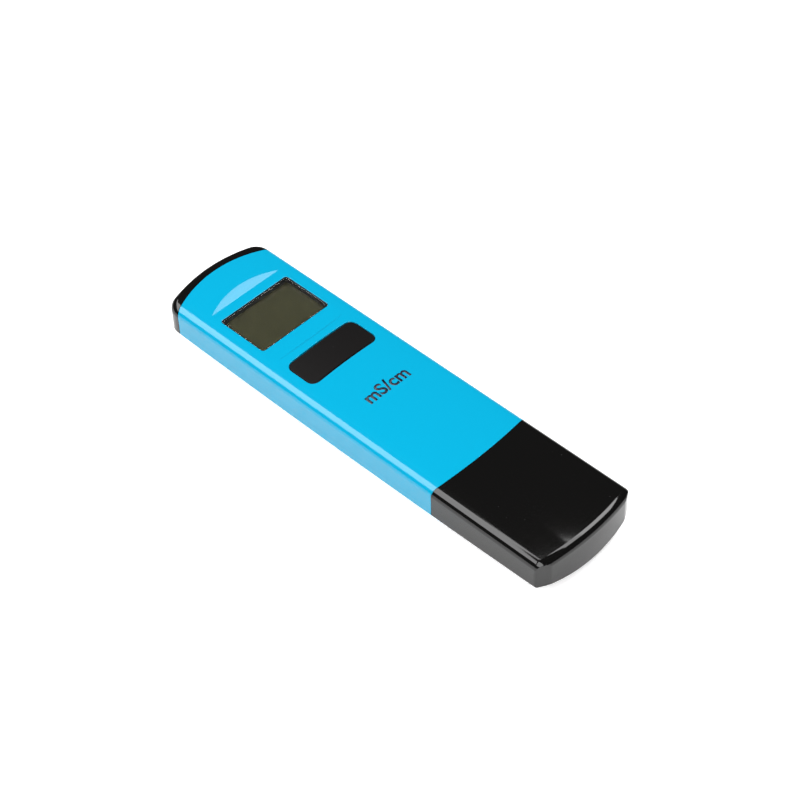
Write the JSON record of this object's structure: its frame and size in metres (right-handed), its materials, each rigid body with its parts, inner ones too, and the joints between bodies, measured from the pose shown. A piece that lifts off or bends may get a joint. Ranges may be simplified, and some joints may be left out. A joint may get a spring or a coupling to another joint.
{
  "type": "conductivity meter",
  "caption": "Slim pocket conductivity tester with a crowned case, display window and wide key, a bayonet battery cover in its back, and a pull-off cap over the probe.",
  "frame": {"origin": "on the resting surface, under the middle of the meter with its cap on", "axes": "+Y to the display end, +Z out of the face with the display and key, -Y out of the probe"},
  "size_m": [0.04, 0.16, 0.017],
  "materials": {
    "case_blue": "smooth glossy moulded blue",
    "gloss_black": "smooth glossy moulded black",
    "probe_plastic": "fine satin black",
    "frame_plastic": "matte black",
    "chip_plastic": "matte black",
    "board_part": "tan and grey moulded parts",
    "board": "green solder mask",
    "key_rubber": "soft matte black",
    "seal_rubber": "matte black",
    "connector_rubber": "matte",
    "lead_insulation": "satin",
    "window_glass": "clear polished",
    "lcd_glass": "clear",
    "lcd_film": "dark olive film",
    "reflector_film": "satin grey",
    "graphite": "dull dark grey",
    "steel": "brushed",
    "cell_steel": "satin",
    "screw_steel": "zinc plated",
    "contact_metal": "plated"
  },
  "bodies": {
    "meter_body": {"front_shell": "case_blue", "rear_shell": "case_blue", "end_cap": "gloss_black", "end_cap_seal": "seal_rubber", "neck_seal": "seal_rubber", "probe_gasket": "seal_rubber", "probe_body": "probe_plastic", "electrode_pins": "graphite", "temperature_sensor": "steel", "sensor_leads": "lead_insulation", "window_lens": "window_glass", "lcd_frame": "frame_plastic", "lcd_polariser": "lcd_film", "lcd_front_glass": "lcd_glass", "lcd_rear_glass": "lcd_glass", "lcd_reflector": "reflector_film", "lcd_connector": "connector_rubber", "circuit_board": "board", "board_screws": "screw_steel", "controller_chip": "chip_plastic", "board_parts": "board_part", "tactile_switch": "frame_plastic", "battery_cell": "cell_steel", "battery_contact_negative": "contact_metal", "battery_contact_positive": "contact_metal"},
    "protective_cap": {"protective_cap": "gloss_black"},
    "button": {"button_key": "key_rubber", "switch_plunger": "frame_plastic"},
    "battery_cover": {"battery_cover": "gloss_black", "battery_cover_seal": "seal_rubber"}
  },
  "joints": [
    {"name": "cap_pull", "type": "slide", "parent": "meter_body", "child": "protective_cap", "axis": [0, -1, 0], "range_m": [0, 0.05]},
    {"name": "key_press", "type": "slide", "parent": "meter_body", "child": "button", "axis": [0, 0, -1], "range_m": [0, 0.0004], "stiffness_N_per_m": 800, "springref_m": -0.0001},
    {"name": "cover_turn", "type": "hinge", "parent": "meter_body", "child": "battery_cover", "pos_m": [0, 0.002, 0], "axis": [0, 0, -1], "range_deg": [0, 50]}
  ]
}
